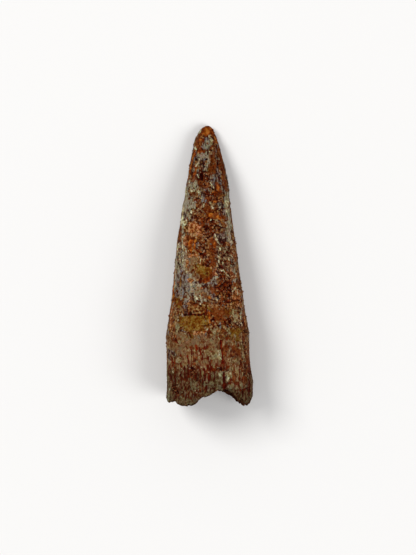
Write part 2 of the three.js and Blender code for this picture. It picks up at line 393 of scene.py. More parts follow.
# Mauve: a dark grey-purple stain of manganese, in smudges and fine upright streaks.
marks["mauve"] = Mark(
    strokes=(
        (0.2, (-2.1, 4.0), (-2.0, 4.6)), (0.2, (1.15, 4.6), (1.2, 6.8)), (0.14, (1.45, 7.2), (1.5, 8.3)),
        (0.4, (1.0, 7.3), (1.15, 8.5)), (0.25, (-0.2, 7.7), (0.1, 8.3)), (0.3, (1.8, 8.9), (2.2, 10.0)),
        (0.4, (1.4, 11.3), (1.8, 12.8)), (0.25, (-3.0, 12.8), (-2.6, 13.9)),
        (0.25, (2.2, 12.9), (2.5, 13.6)), (0.2, (-3.6, 13.2), (-3.4, 14.0)),
        (0.5, (1.3, 16.5), (2.3, 16.6)), (0.5, (1.7, 17.2), (2.3, 17.6)), (0.3, (1.2, 18.7), (1.8, 19.1)),
        (0.14, (-4.7, 19.4), (-4.7, 20.6)), (0.3, (1.2, 21.9), (1.6, 22.4)),
        (0.14, (-3.8, 22.6), (-3.85, 24.4)), (0.15, (-4.7, 23.4), (-4.75, 25.4)),
        (0.12, (-3.0, 23.6), (-3.0, 25.4)), (0.2, (-0.7, 24.0), (-0.5, 24.9)),
        (0.2, (0.2, 25.0), (0.9, 26.0)), (0.14, (-3.3, 26.2), (-3.4, 26.9)),
        (0.25, (-3.5, 26.8), (-3.45, 28.0)), (0.2, (0.2, 26.9), (0.4, 27.1)),
        (0.4, (-6.1, 33.8), (-6.05, 34.8)), (0.35, (-5.8, 33.8), (-5.3, 34.2)),
    ),
    hidden=(16, (0.2, 0.4), (0.4, 2.0), (2.0, 36.0)),
    lump=0.45, fade=0.25, sure=0.24, rare=(0.17, 0.18), grain=0.3, streaky=True, strength=0.92,
    colours=((44, 18, 12), (60, 35, 28), (74, 55, 47), (92, 74, 64), (116, 102, 88)),
)

# Ochre: tan and olive sandstone, as in the sunken window at the crown's foot.
marks["ochre"] = Mark(
    strokes=(
        (0.18, (0.45, 5.2), (0.45, 6.2)), (0.22, (0.0, 6.4), (0.5, 6.8)),
        (0.28, (-1.6, 21.0), (-1.6, 22.0)), (0.35, (-0.2, 21.4), (-0.1, 22.1)),
        (0.45, (-1.0, 21.5), (-0.8, 22.3)), (0.35, (-4.9, 26.2), (-4.4, 27.0)),
        (0.3, (-0.2, 27.1), (0.3, 27.5)), (0.3, (2.6, 27.3), (2.9, 28.0)),
        (0.16, (-0.45, 28.6), (-0.45, 30.0)), (0.42, (-4.3, 28.85), (-1.2, 28.85)),
        (0.5, (-4.2, 29.5), (-1.1, 29.5)), (0.45, (-3.5, 30.3), (-1.1, 30.2)),
        (0.35, (3.5, 30.7), (4.5, 30.7)), (0.2, (-2.9, 30.8), (-2.75, 31.5)),
        (0.2, (3.3, 31.2), (3.5, 31.8)), (0.3, (4.1, 31.2), (4.3, 32.0)),
    ),
    hidden=(9, (0.3, 0.7), (0.2, 1.6), (16.0, 36.0)),
    lump=0.45, fade=0.25, sure=0.25, rare=(0.2, 0.19), soft=0.04, outline=0.25, height=-0.2, grain=0.4,
    spread=0.11,
    colours=((86, 46, 6), (100, 62, 14), (112, 78, 26), (96, 74, 34), (126, 98, 52)),
)

# Amber: a smooth orange-brown stain of iron, along the edges and in the middle of the crown.
marks["amber"] = Mark(
    strokes=(
        (0.3, (0.75, 1.2), (1.05, 2.4)), (0.4, (-1.4, 1.5), (-1.6, 2.8)), (0.28, (1.4, 3.0), (1.75, 4.8)),
        (0.3, (0.4, 4.3), (0.45, 5.8)), (0.35, (1.7, 4.8), (2.05, 7.4)), (0.4, (0.45, 5.8), (0.5, 6.9)),
        (0.3, (2.05, 7.4), (2.45, 9.3)), (0.25, (-2.3, 8.1), (-2.0, 8.2)),
        (0.5, (-0.9, 8.3), (-0.8, 9.1)), (0.35, (1.1, 9.1), (1.3, 10.0)), (0.3, (0.9, 9.6), (1.3, 10.6)),
        (0.3, (-0.4, 11.4), (-0.5, 12.6)), (0.3, (0.1, 12.4), (0.1, 13.0)),
        (0.35, (0.1, 13.2), (1.2, 13.4), (2.2, 13.8)), (0.16, (-4.3, 15.1), (-4.4, 17.4)),
        (0.14, (3.65, 16.5), (3.8, 18.0)), (0.3, (-3.2, 17.0), (-2.9, 17.4)),
        (0.5, (0.4, 17.2), (0.6, 18.6)), (0.45, (0.55, 18.6), (0.5, 20.6)),
        (0.18, (3.9, 18.8), (3.9, 19.8)), (0.2, (3.7, 18.9), (3.8, 19.8)),
        (0.26, (0.15, 21.9), (0.2, 22.7)), (0.2, (3.2, 22.0), (3.4, 22.2)),
        (0.2, (-0.6, 22.6), (-0.1, 22.6)), (0.25, (0.4, 24.6), (0.9, 25.0)),
        (0.25, (4.1, 26.3), (4.8, 26.2)), (0.3, (-4.5, 26.3), (-4.3, 26.8)),
        (0.3, (0.9, 26.9), (2.0, 27.2)), (0.16, (5.0, 27.4), (5.05, 28.3)),
        (0.6, (0.7, 27.6), (1.5, 28.6)), (0.5, (2.1, 27.7), (2.6, 28.2)),
        (0.25, (2.1, 30.9), (2.3, 31.4)), (0.2, (5.1, 31.2), (5.2, 32.4)),
        (0.35, (5.8, 33.0), (5.9, 36.6)), (0.35, (3.7, 33.1), (3.7, 34.4)),
        (0.25, (2.3, 33.2), (2.4, 34.2)), (0.25, (4.1, 34.0), (4.5, 33.6)),
        (0.3, (6.0, 35.4), (6.05, 36.8)), (0.14, (5.6, 36.4), (5.6, 37.6)),
        (0.35, (3.6, 36.9), (3.7, 38.3)), (0.3, (5.3, 37.7), (5.5, 38.3)),
    ),
    hidden=(20, (0.2, 0.6), (0.3, 2.4), (1.0, 39.0)),
    lump=0.6, sure=0.26, rare=(0.15, 0.18), soft=0.05, outline=0.1, height=0.02, grain=0.4, flecks=0.1,
    strength=0.78,
    colours=((64, 18, 0), (84, 34, 4), (98, 48, 12), (114, 64, 26), (92, 40, 8)),
)

# Sand: brown and tan grains cemented to the tooth.
marks["sand"] = Mark(
    strokes=(
        (0.4, (-2.4, 10.4), (-1.7, 10.8)), (0.4, (-1.9, 13.2), (-0.9, 13.6)),
        (0.55, (1.4, 14.5), (2.0, 14.6)), (0.35, (1.2, 15.6), (1.8, 15.8)),
        (0.3, (-0.8, 16.3), (-0.4, 17.4)), (0.45, (-3.0, 16.7), (-1.4, 16.8)),
        (0.4, (2.6, 18.0), (3.3, 18.8)), (0.4, (3.6, 18.2), (3.7, 19.6)), (0.4, (4.1, 21.4), (4.2, 22.6)),
        (0.4, (-3.0, 26.6), (-2.4, 26.8)), (0.35, (0.6, 26.9), (2.0, 26.9), (3.8, 27.2)),
        (0.4, (-5.5, 28.4), (-5.6, 30.6)), (0.3, (1.4, 31.0), (2.0, 31.4)),
    ),
    hidden=(24, (0.3, 0.8), (0.3, 2.2), (6.0, 39.0)),
    rare=(0.14, 0.15), height=0.04, granular=True,
    colours=((72, 28, 4), (106, 66, 32), (126, 90, 54), (98, 52, 18), (142, 114, 80), (116, 68, 30)),
)

# Crust: dark iron oxide with sand grains in it, thickest along the middle and the right side.
marks["crust"] = Mark(
    strokes=(
        (0.3, (-1.2, 6.9), (-1.2, 7.8)), (0.4, (-0.6, 7.5), (-0.3, 8.6)),
        (0.45, (-0.4, 10.4), (0.1, 10.8)), (0.5, (0.9, 10.4), (1.3, 10.8)),
        (0.45, (-1.7, 11.4), (-1.6, 12.4)), (0.6, (-1.4, 14.2), (0.2, 14.5)),
        (0.7, (-0.4, 15.2), (0.6, 15.6)), (0.6, (-0.5, 16.6), (0.3, 16.7)),
        (0.6, (-1.2, 17.8), (-1.0, 19.2)), (0.45, (-0.4, 19.4), (-0.3, 20.6)),
        (0.5, (1.9, 20.3), (2.9, 20.4)), (0.7, (2.1, 22.6), (2.1, 24.0)),
        (0.65, (2.9, 22.9), (2.9, 24.4)), (0.7, (1.6, 24.2), (1.9, 25.2)),
        (0.65, (2.9, 25.0), (2.6, 25.7)), (0.3, (1.3, 25.6), (2.2, 26.4), (3.5, 26.5)),
        (0.3, (4.5, 26.0), (4.7, 26.6)), (0.4, (0.7, 29.0), (0.8, 29.6)),
        (0.35, (2.3, 29.5), (3.9, 29.8)), (0.3, (5.1, 29.6), (5.2, 30.6)),
        (0.3, (5.2, 32.6), (5.3, 33.6)), (0.35, (4.7, 35.4), (5.0, 36.4)),
        (0.3, (1.0, 36.2), (1.9, 36.4)), (0.3, (-2.6, 36.5), (-2.3, 37.6)),
        (0.35, (-5.4, 39.0), (-5.0, 39.7)), (0.3, (-1.8, 39.3), (-1.9, 39.8)),
    ),
    hidden=(24, (0.3, 0.8), (0.3, 2.2), (6.0, 39.0)),
    sure=0.2, rare=(0.15, 0.2), height=0.05, granular=True,
    colours=(
        (42, 4, 0), (94, 40, 8), (110, 54, 18), (62, 16, 0), (130, 86, 48), (98, 36, 4), (140, 108, 74),
    ),
)

# Breccia: broken bits of pale enamel and dark iron oxide, set together in the crust.
marks["breccia"] = Mark(
    strokes=(
        (0.3, (1.1, 4.8), (1.2, 6.2)), (0.35, (-1.0, 5.5), (-0.9, 6.4)),
        (0.3, (-2.4, 10.5), (-2.1, 10.9)), (0.3, (-1.3, 12.0), (-1.2, 12.9)),
        (0.3, (-2.8, 13.2), (-2.7, 13.9)), (0.35, (1.5, 15.0), (1.9, 15.5)),
        (0.25, (-0.9, 18.2), (-0.8, 19.0)), (0.25, (-4.5, 18.6), (-4.5, 20.8)),
        (0.6, (1.5, 18.8), (2.6, 18.8)), (0.3, (3.2, 19.2), (3.4, 20.2)), (0.5, (1.4, 19.6), (2.6, 19.8)),
        (0.65, (1.5, 21.0), (2.6, 21.3)), (0.3, (4.5, 27.4), (4.9, 29.0)),
        (0.35, (3.4, 29.4), (4.6, 29.5)), (0.3, (2.7, 36.9), (2.9, 38.2)),
    ),
    hidden=(14, (0.3, 0.6), (0.3, 1.6), (4.0, 36.0)),
    sure=0.22, rare=(0.24, 0.26), height=0.05, granular=True,
    colours=(
        (46, 14, 6), (132, 112, 84), (72, 34, 16), (104, 80, 62), (90, 54, 30), (148, 128, 98),
        (60, 26, 14),
    ),
)

# Honey: the brightest orange stain, on the worn tip and in blots.
marks["honey"] = Mark(
    strokes=(
        (1.0, (-0.4, 0.1), (-0.3, 0.85)), (0.13, (0.55, 1.0), (0.85, 1.9), (1.1, 2.6)),
        (0.08, (-1.35, 2.1), (-1.35, 2.5)), (0.12, (-1.5, 2.5), (-1.3, 2.9)),
        (0.2, (-2.1, 3.4), (-2.5, 4.8)), (0.16, (-1.5, 3.75), (-1.2, 3.75)),
        (0.12, (-1.4, 3.75), (-1.2, 3.75)), (0.22, (-2.5, 4.8), (-2.9, 6.8), (-3.15, 7.9)),
        (0.18, (-2.1, 6.2), (-2.2, 7.6)), (0.14, (-3.3, 8.3), (-3.4, 9.0)),
        (0.12, (1.2, 9.1), (1.3, 9.7)), (0.15, (0.6, 10.1), (0.9, 10.0)),
        (0.08, (0.6, 11.3), (0.9, 11.4)), (0.22, (-0.1, 13.4), (0.5, 13.5)),
        (0.18, (1.2, 13.7), (2.1, 13.9)), (0.15, (-2.2, 17.3), (-2.2, 18.4)),
        (0.24, (-2.9, 17.4), (-2.8, 19.0)), (0.2, (0.7, 17.6), (0.8, 18.2)),
        (0.15, (-5.1, 21.4), (-5.3, 24.6), (-5.5, 26.8)), (0.25, (-0.8, 23.2), (0.0, 23.1)),
        (0.12, (-1.6, 24.35), (-1.2, 24.4)), (0.12, (-0.3, 25.7), (0.1, 25.9)),
        (0.07, (0.0, 28.0), (0.05, 29.8)),
    ),
    hidden=(14, (0.2, 0.5), (0.3, 2.0), (1.0, 36.0)),
    lump=0.5, fade=0.3, sure=0.3, rare=(0.25, 0.25), soft=0.05, height=0.02, grain=0.5, spread=0.11,
    flecks=0.14, strength=0.9,
    colours=((86, 32, 0), (110, 50, 6), (130, 70, 18), (148, 94, 42)),
)

# Chips: fresh cream breaks, most of them narrow splinters. Those along the crown's left edge,
# 12 to 15 mm back, and on the right near 11 to 12 mm back are also painted light.
marks["chips"] = Mark(
    strokes=(
        (0.1, (-1.25, 0.65), (-1.6, 1.2)), (0.2, (-0.02, 1.5), (0.2, 2.0), (0.28, 2.75)),
        (0.13, (-2.1, 3.2), (-1.9, 3.5)), (0.13, (0.0, 3.9), (0.2, 4.2)),
        (0.12, (-1.7, 4.2), (-1.5, 4.4)), (0.15, (-1.4, 5.0), (-1.7, 5.6), (-2.0, 6.1)),
        (0.08, (-1.85, 7.3), (-1.6, 7.8)), (0.08, (-2.95, 8.5), (-2.8, 9.0)),
        (0.07, (-2.2, 8.5), (-2.0, 8.7)), (0.08, (0.2, 8.5), (0.4, 8.9), (0.7, 9.4)),
        (0.06, (-2.5, 8.6), (-2.3, 8.7)), (0.06, (-2.9, 9.0), (-2.8, 9.2)),
        (0.08, (-2.4, 9.2), (-2.25, 9.8)), (0.06, (-2.2, 9.2), (-2.1, 9.4)),
        (0.14, (-3.45, 9.4), (-3.4, 9.8)), (0.07, (-2.85, 9.5), (-2.7, 9.8)),
        (0.06, (-2.7, 9.5), (-2.6, 9.7)), (0.1, (-2.7, 9.8), (-2.5, 9.9)),
        (0.1, (-1.7, 9.8), (-1.3, 10.3)), (0.14, (-3.45, 10.0), (-3.5, 10.6)),
        (0.1, (-1.4, 10.8), (-1.2, 10.9)), (0.2, (2.7, 11.2), (2.75, 11.9)),
        (0.22, (2.5, 11.4), (2.6, 11.8)), (0.11, (0.1, 11.5), (0.35, 12.0)),
        (0.08, (-0.8, 11.8), (-1.0, 12.3)), (0.13, (0.4, 12.1), (0.6, 12.4)),
        (0.2, (-3.8, 12.2), (-4.0, 13.6), (-4.15, 14.8)), (0.12, (1.6, 12.2), (1.5, 12.3)),
        (0.14, (-3.9, 12.3), (-3.95, 13.3)), (0.14, (2.45, 12.3), (2.5, 12.8)),
        (0.2, (-3.85, 12.6), (-3.95, 13.8)), (0.12, (-2.75, 12.9), (-2.65, 13.1)),
        (0.12, (-2.9, 13.7), (-2.7, 13.9)), (0.1, (0.25, 14.1), (0.3, 14.1)),
        (0.18, (-4.35, 14.6), (-3.7, 14.4), (-3.35, 14.2)), (0.06, (0.9, 14.2), (1.2, 14.3)),
        (0.25, (-4.1, 14.5), (-3.4, 14.5)), (0.08, (1.5, 14.7), (1.6, 15.0)),
        (0.1, (1.7, 15.0), (1.75, 15.1)), (0.1, (0.85, 16.3), (0.85, 16.6)),
        (0.12, (-3.9, 16.7), (-3.9, 17.0)), (0.1, (0.75, 16.7), (1.65, 17.9)),
        (0.14, (3.2, 17.4), (3.4, 17.5)), (0.14, (-4.6, 17.8), (-4.75, 18.8)),
        (0.14, (-4.0, 17.9), (-4.0, 18.4)), (0.13, (-4.75, 18.1), (-4.7, 19.5)),
        (0.3, (-4.7, 18.1), (-4.75, 19.2)), (0.1, (-4.6, 18.2), (-4.5, 19.0), (-4.2, 19.4)),
        (0.11, (2.0, 18.3), (2.1, 18.4)), (0.07, (1.5, 18.4), (1.6, 18.7)),
        (0.07, (2.3, 18.6), (2.35, 18.9)), (0.1, (-4.0, 19.0), (-3.95, 19.6)),
        (0.15, (1.2, 19.4), (1.6, 19.9)), (0.12, (3.1, 19.4), (3.5, 20.1)),
        (0.12, (-4.4, 19.5), (-4.3, 20.6)), (0.06, (-1.6, 19.5), (-1.35, 19.9), (-1.3, 20.5)),
        (0.1, (-4.7, 19.7), (-4.6, 20.4)), (0.11, (2.7, 19.8), (2.9, 20.2)),
        (0.16, (-3.9, 20.0), (-3.9, 20.7)), (0.1, (-3.6, 20.2), (-3.6, 21.0)),
        (0.08, (1.4, 20.2), (1.45, 20.6)), (0.07, (1.9, 20.4), (2.0, 20.7)),
        (0.07, (2.6, 20.7), (2.7, 21.2)), (0.07, (2.1, 21.5), (2.15, 21.8)),
        (0.09, (1.5, 21.6), (2.2, 21.9)), (0.16, (-3.5, 21.7), (-3.2, 21.8)),
        (0.09, (2.5, 22.2), (2.8, 22.5)), (0.07, (-2.65, 23.7), (-2.7, 24.3)),
        (0.1, (3.4, 24.9), (3.9, 24.3)), (0.14, (4.15, 24.7), (4.2, 25.3)),
        (0.09, (-2.2, 25.4), (-1.8, 25.9)), (0.12, (0.95, 25.9), (1.1, 26.3)),
        (0.06, (-1.4, 26.5), (-1.35, 26.7)), (0.1, (4.6, 28.4), (4.7, 29.2)),
        (0.1, (-4.8, 28.5), (-4.7, 29.2)), (0.13, (4.6, 29.2), (4.7, 29.5)),
        (0.1, (-0.45, 30.35), (-0.35, 30.5)), (0.1, (-3.7, 31.0), (-3.5, 31.1)),
        (0.1, (1.25, 33.6), (1.4, 34.3), (1.7, 34.9)), (0.09, (-5.4, 36.3), (-5.4, 36.9)),
        (0.08, (1.4, 37.1), (1.75, 37.0)), (0.14, (1.5, 37.0), (1.7, 37.5)),
        (0.08, (2.6, 37.0), (2.65, 37.6)), (0.2, (2.75, 37.0), (2.75, 38.0)),
        (0.08, (2.95, 37.2), (2.8, 37.9)), (0.1, (4.7, 38.6), (4.8, 39.1)),
        (0.1, (-2.5, 38.8), (-2.2, 39.0)), (0.15, (2.8, 39.0), (3.2, 39.1)),
        (0.14, (-5.95, 39.4), (-6.0, 41.0)), (0.14, (-6.25, 40.3), (-6.25, 41.1)),
    ),
    hidden=(40, (0.1, 0.2), (0.1, 0.8), (1.5, 39.5)),
    lump=0.4, fade=0.12, sure=0.26, rare=(0.21, 0.2), outline=0.7, height=0.05, grain=0.3, flecks=0.1,
    colours=((112, 88, 60), (132, 114, 86), (150, 136, 108), (170, 160, 132)),
)

# Cracks: narrow splits up the root, stained dark red inside.
marks["cracks"] = Mark(
    strokes=(
        (0.1, (-1.85, 26.3), (-1.6, 26.55)), (0.09, (-5.9, 31.3), (-5.3, 31.8)),
        (0.12, (-5.1, 32.1), (-4.7, 32.6)), (0.14, (1.65, 32.1), (1.8, 33.2), (1.85, 34.3)),
        (0.1, (-2.0, 32.8), (-1.85, 33.5)), (0.09, (-0.7, 33.0), (-0.75, 33.6)),
        (0.1, (-1.4, 33.7), (-1.35, 34.3)), (0.1, (-3.3, 34.5), (-3.1, 35.6)),
        (0.14, (1.9, 34.5), (2.05, 35.5)), (0.12, (-5.9, 35.0), (-5.2, 35.5)),
        (0.14, (6.0, 35.8), (6.05, 36.8)), (0.09, (-3.75, 35.9), (-3.8, 37.6)),
        (0.09, (-3.2, 36.2), (-3.15, 37.6)), (0.1, (-0.75, 36.4), (-0.65, 38.0)),
        (0.08, (-4.3, 36.8), (-4.3, 37.8)), (0.08, (-0.1, 36.9), (-0.1, 38.3)),
        (0.2, (2.1, 36.9), (2.15, 38.2), (2.25, 38.9), (2.25, 39.3)), (0.09, (-2.1, 37.0), (-2.05, 37.8)),
        (0.16, (5.95, 38.0), (6.0, 39.2), (6.05, 40.4)), (0.08, (0.8, 38.2), (0.8, 39.0)),
        (0.08, (-3.75, 38.4), (-3.7, 39.4)), (0.13, (2.3, 38.5), (2.9, 38.5), (3.4, 38.6)),
        (0.11, (4.5, 39.6), (5.1, 39.4), (5.8, 39.2)),
    ),
    hidden=(22, (0.06, 0.13), (0.4, 2.4), (29.0, 39.5)),
    lump=0.36, fade=0.12, sure=0.26, rare=(0.3, 0.19), height=-0.1, streaky=True,
    colours=((62, 4, 0), (88, 14, 1), (108, 38, 8)),
)

# Hollows: small dark pits, filled with iron oxide.
marks["hollows"] = Mark(
    strokes=(
        (0.1, (-0.4, 1.5), (-0.3, 1.6)), (0.1, (0.2, 1.6), (0.35, 1.6)), (0.12, (-1.2, 3.3), (-1.1, 3.4)),
        (0.15, (0.2, 3.7), (0.35, 3.7)), (0.12, (-0.3, 3.9), (-0.3, 4.3)),
        (0.12, (-2.1, 4.1), (-2.1, 4.2)), (0.12, (-2.0, 5.0), (-1.9, 5.1)),
        (0.12, (-0.5, 5.1), (-0.3, 5.0)), (0.1, (1.2, 5.2), (1.2, 6.2)), (0.1, (-1.4, 5.5), (-1.3, 5.9)),
        (0.12, (-1.0, 5.8), (-0.8, 5.7)), (0.12, (-2.5, 6.2), (-2.3, 5.9)),
        (0.1, (-1.2, 6.2), (-1.1, 6.4)), (0.22, (-1.2, 6.8), (-1.3, 8.0)), (0.1, (1.0, 6.8), (1.1, 6.9)),
        (0.1, (-2.6, 6.9), (-2.6, 7.0)), (0.14, (-0.8, 6.9), (-0.6, 6.9)),
        (0.11, (1.45, 7.4), (1.5, 8.2)), (0.1, (-1.9, 7.8), (-1.7, 8.1)), (0.12, (-0.2, 7.9), (0.0, 8.3)),
        (0.06, (-2.4, 8.5), (-2.3, 8.55)), (0.07, (-2.6, 8.9), (-2.5, 9.0)),
        (0.06, (-2.0, 9.0), (-1.95, 9.15)), (0.08, (0.8, 9.0), (0.85, 9.6)),
        (0.12, (0.2, 9.3), (0.6, 9.6)), (0.07, (-2.5, 9.4), (-2.3, 9.5)),
        (0.06, (-2.9, 9.6), (-2.8, 9.7)), (0.16, (2.1, 10.1), (2.2, 10.2)),
        (0.15, (-0.6, 10.4), (-0.3, 10.5)), (0.13, (0.0, 11.15), (0.1, 11.2)),
        (0.12, (2.0, 13.0), (1.7, 12.8)), (0.12, (-1.3, 12.9), (-1.2, 13.0)),
        (0.12, (-2.7, 13.8), (-2.5, 13.7)), (0.1, (-3.7, 13.9), (-3.7, 14.2)),
        (0.12, (0.2, 15.0), (0.3, 15.0)), (0.16, (-0.8, 15.2), (-0.4, 15.2)),
        (0.12, (-0.4, 15.7), (-0.2, 15.8)), (0.12, (1.8, 17.2), (2.2, 17.9)),
        (0.15, (2.0, 17.4), (2.4, 17.8)), (0.12, (-0.9, 18.1), (-0.7, 18.5)),
        (0.13, (2.8, 18.1), (2.8, 18.4)), (0.1, (3.1, 18.6), (3.2, 18.9)),
        (0.12, (-1.8, 18.8), (-1.6, 18.9)), (0.1, (1.8, 18.8), (2.0, 18.8)),
        (0.13, (2.6, 18.9), (2.9, 19.0)), (0.1, (1.5, 19.0), (1.7, 19.2)),
        (0.16, (-1.3, 19.2), (-0.6, 19.4)), (0.1, (-4.75, 19.4), (-4.65, 20.0)),
        (0.13, (1.8, 19.6), (2.2, 19.5)), (0.1, (2.2, 20.2), (2.4, 20.4)),
        (0.1, (-4.65, 20.6), (-4.5, 20.9)), (0.13, (1.4, 20.9), (1.9, 21.3)),
        (0.12, (1.6, 20.9), (2.1, 21.2)), (0.12, (2.4, 20.9), (2.5, 21.1)),
        (0.12, (1.7, 22.3), (1.8, 22.8)), (0.13, (2.0, 23.6), (2.3, 24.2)),
        (0.14, (3.0, 23.9), (3.2, 24.1)), (0.1, (-1.1, 24.0), (-0.8, 24.4)),
        (0.15, (1.4, 24.4), (1.9, 24.9)), (0.12, (-4.8, 24.5), (-4.8, 25.1)),
        (0.12, (3.1, 24.7), (3.3, 24.8)), (0.1, (2.6, 25.2), (2.8, 25.4)),
        (0.12, (1.2, 25.5), (1.4, 25.9)), (0.1, (2.3, 26.4), (3.4, 26.5)),
        (0.1, (-4.1, 27.1), (-3.9, 27.4)), (0.13, (-3.0, 27.9), (-2.7, 28.2)),
        (0.13, (-3.5, 28.2), (-3.3, 28.2)), (0.09, (-2.9, 28.2), (-1.5, 28.3), (-0.7, 28.2)),
        (0.08, (-4.7, 28.35), (-3.6, 28.3)), (0.12, (2.4, 29.3), (2.6, 29.2)),
        (0.1, (4.0, 29.7), (4.6, 30.0)), (0.12, (-3.1, 31.0), (-2.8, 31.6)),
        (0.08, (0.5, 31.9), (0.7, 32.0)), (0.1, (2.3, 32.7), (2.5, 32.8)),
        (0.1, (-5.8, 33.8), (-5.3, 34.2)), (0.16, (4.7, 35.5), (4.8, 35.8)),
        (0.12, (1.4, 36.7), (1.9, 36.4)), (0.08, (-5.4, 38.9), (-4.7, 38.7)),
        (0.1, (-5.4, 39.2), (-5.1, 39.8)), (0.2, (4.85, 41.1), (4.95, 41.3)),
    ),
    hidden=(36, (0.08, 0.16), (0.1, 2.2), (4.0, 39.0)),
    lump=0.4, fade=0.12, sure=0.24, rare=(0.19, 0.21), height=-0.14,
    colours=((30, 4, 0), (54, 12, 2), (84, 26, 8)),
)

surface = faces_of(skin)
OUTSIDE = 20.0  # further from the tooth's middle than any of its skin
UNDERSIDE = (100, 260)  # degrees round from the top
SLANT = 0.25  # how far round a hidden stroke may turn on its way, in radians


def middle_at(back):
    """The middle of the tooth's section, back from the tip, in millimetres."""
    x, z = (float(np.interp(back, stations, middles[:, axis])) for axis in (0, 2))
    return Vector((x, tip_y - back, z))


def on_top(across, back):
    """The place on the upper side at a distance across and back from the tip."""
    above = Vector((across, tip_y - back, OUTSIDE)) * MM
    hit = surface.ray_cast(above, Vector((0, 0, -1)))[0]
    if hit is None:
        beside = Vector((across, tip_y - back, middle_at(back).z))
        hit = surface.find_nearest(beside * MM)[0]
    return np.array(hit) / MM


def round_side(turn, back):
    """The place on the outside at an angle round from the top, back from the tip."""
    out = Vector((math.sin(turn), 0, math.cos(turn)))
    hit = surface.ray_cast((middle_at(back) + out * OUTSIDE) * MM, -out)[0]
    return np.array(hit) / MM


def hidden_strokes(chance, count, half_widths, lengths, stretch):
    """Strokes scattered over the side that the tooth lies on."""
    strokes = []
    for _ in range(count):
        turn = math.radians(chance.uniform(*UNDERSIDE))
        back = chance.uniform(*stretch)
        further = min(back + chance.uniform(*lengths), stretch[1])
        ends = [(turn, back), (turn + chance.uniform(-SLANT, SLANT), further)]
        strokes.append((chance.uniform(*half_widths), [round_side(*end) for end in ends]))
    return strokes


# A stroke's edges wobble along the skin, by no more than its own half width.
WOBBLE = 0.3
WOBBLE_SIZE = 0.7
seed_set(11)
wobbles = np.array([noise_vector(Vector(spot) / WOBBLE_SIZE) for spot in places])
wobbles -= (wobbles * facing).sum(axis=1)[:, None] * facing


def distance_from(path, half_width):
    """How far every point of the skin lies from the middle of a stroke with wobbly edges."""
    wobbly = places + wobbles * min(WOBBLE, half_width)
    nearest = np.full(len(wobbly), np.inf)
    for start, end in zip(path, path[1:]):
        run = end - start
        part = np.clip((wobbly - start) @ run / (run @ run), 0, 1)
        gap = np.linalg.norm(wobbly - start - part[:, None] * run, axis=1)
        nearest = np.minimum(nearest, gap)
    return nearest


chance = random.Random(11)
for kind, mark in marks.items():
    strokes = [(width, [on_top(*spot) for spot in path]) for width, *path in mark.strokes]
    strokes += hidden_strokes(chance, *mark.hidden)
    edge = np.full(len(places), FAR)
    for half_width, path in strokes:
        edge = np.minimum(edge, distance_from(path, half_width) - half_width)
    store(skin, kind, edge)

# ------------------------------------------------------------------ the tooth: its relief
# Enamel stands proud where it survives, sandstone lies in hollows, iron crust is lumpy and fine
# grooves run up the root. The same chance that lays each colour moves the skin under it.

ROOT_FROM = 30.5  # the crown's skin gives way to the root's between these distances from the tip
ROOT_TO = 33.0
BORDER_WANDER = 9.0  # from the highest to the lowest that this border may stray
BORDER_BENDS = 1.6
STREAKS = 0.4  # how far grain is drawn out along the tooth: a smaller share draws it out more
GROOVES = 0.06
GROOVE_SPACING = 0.75
GROOVE_EDGE = 0.04
CRUST_GRAIN = 0.34
FINE_SHARE = 0.6  # strength of each finer layer of a chance pattern, against the one before
NEXT_SEED = 3.7  # from one kind of mark's seed to the next one's


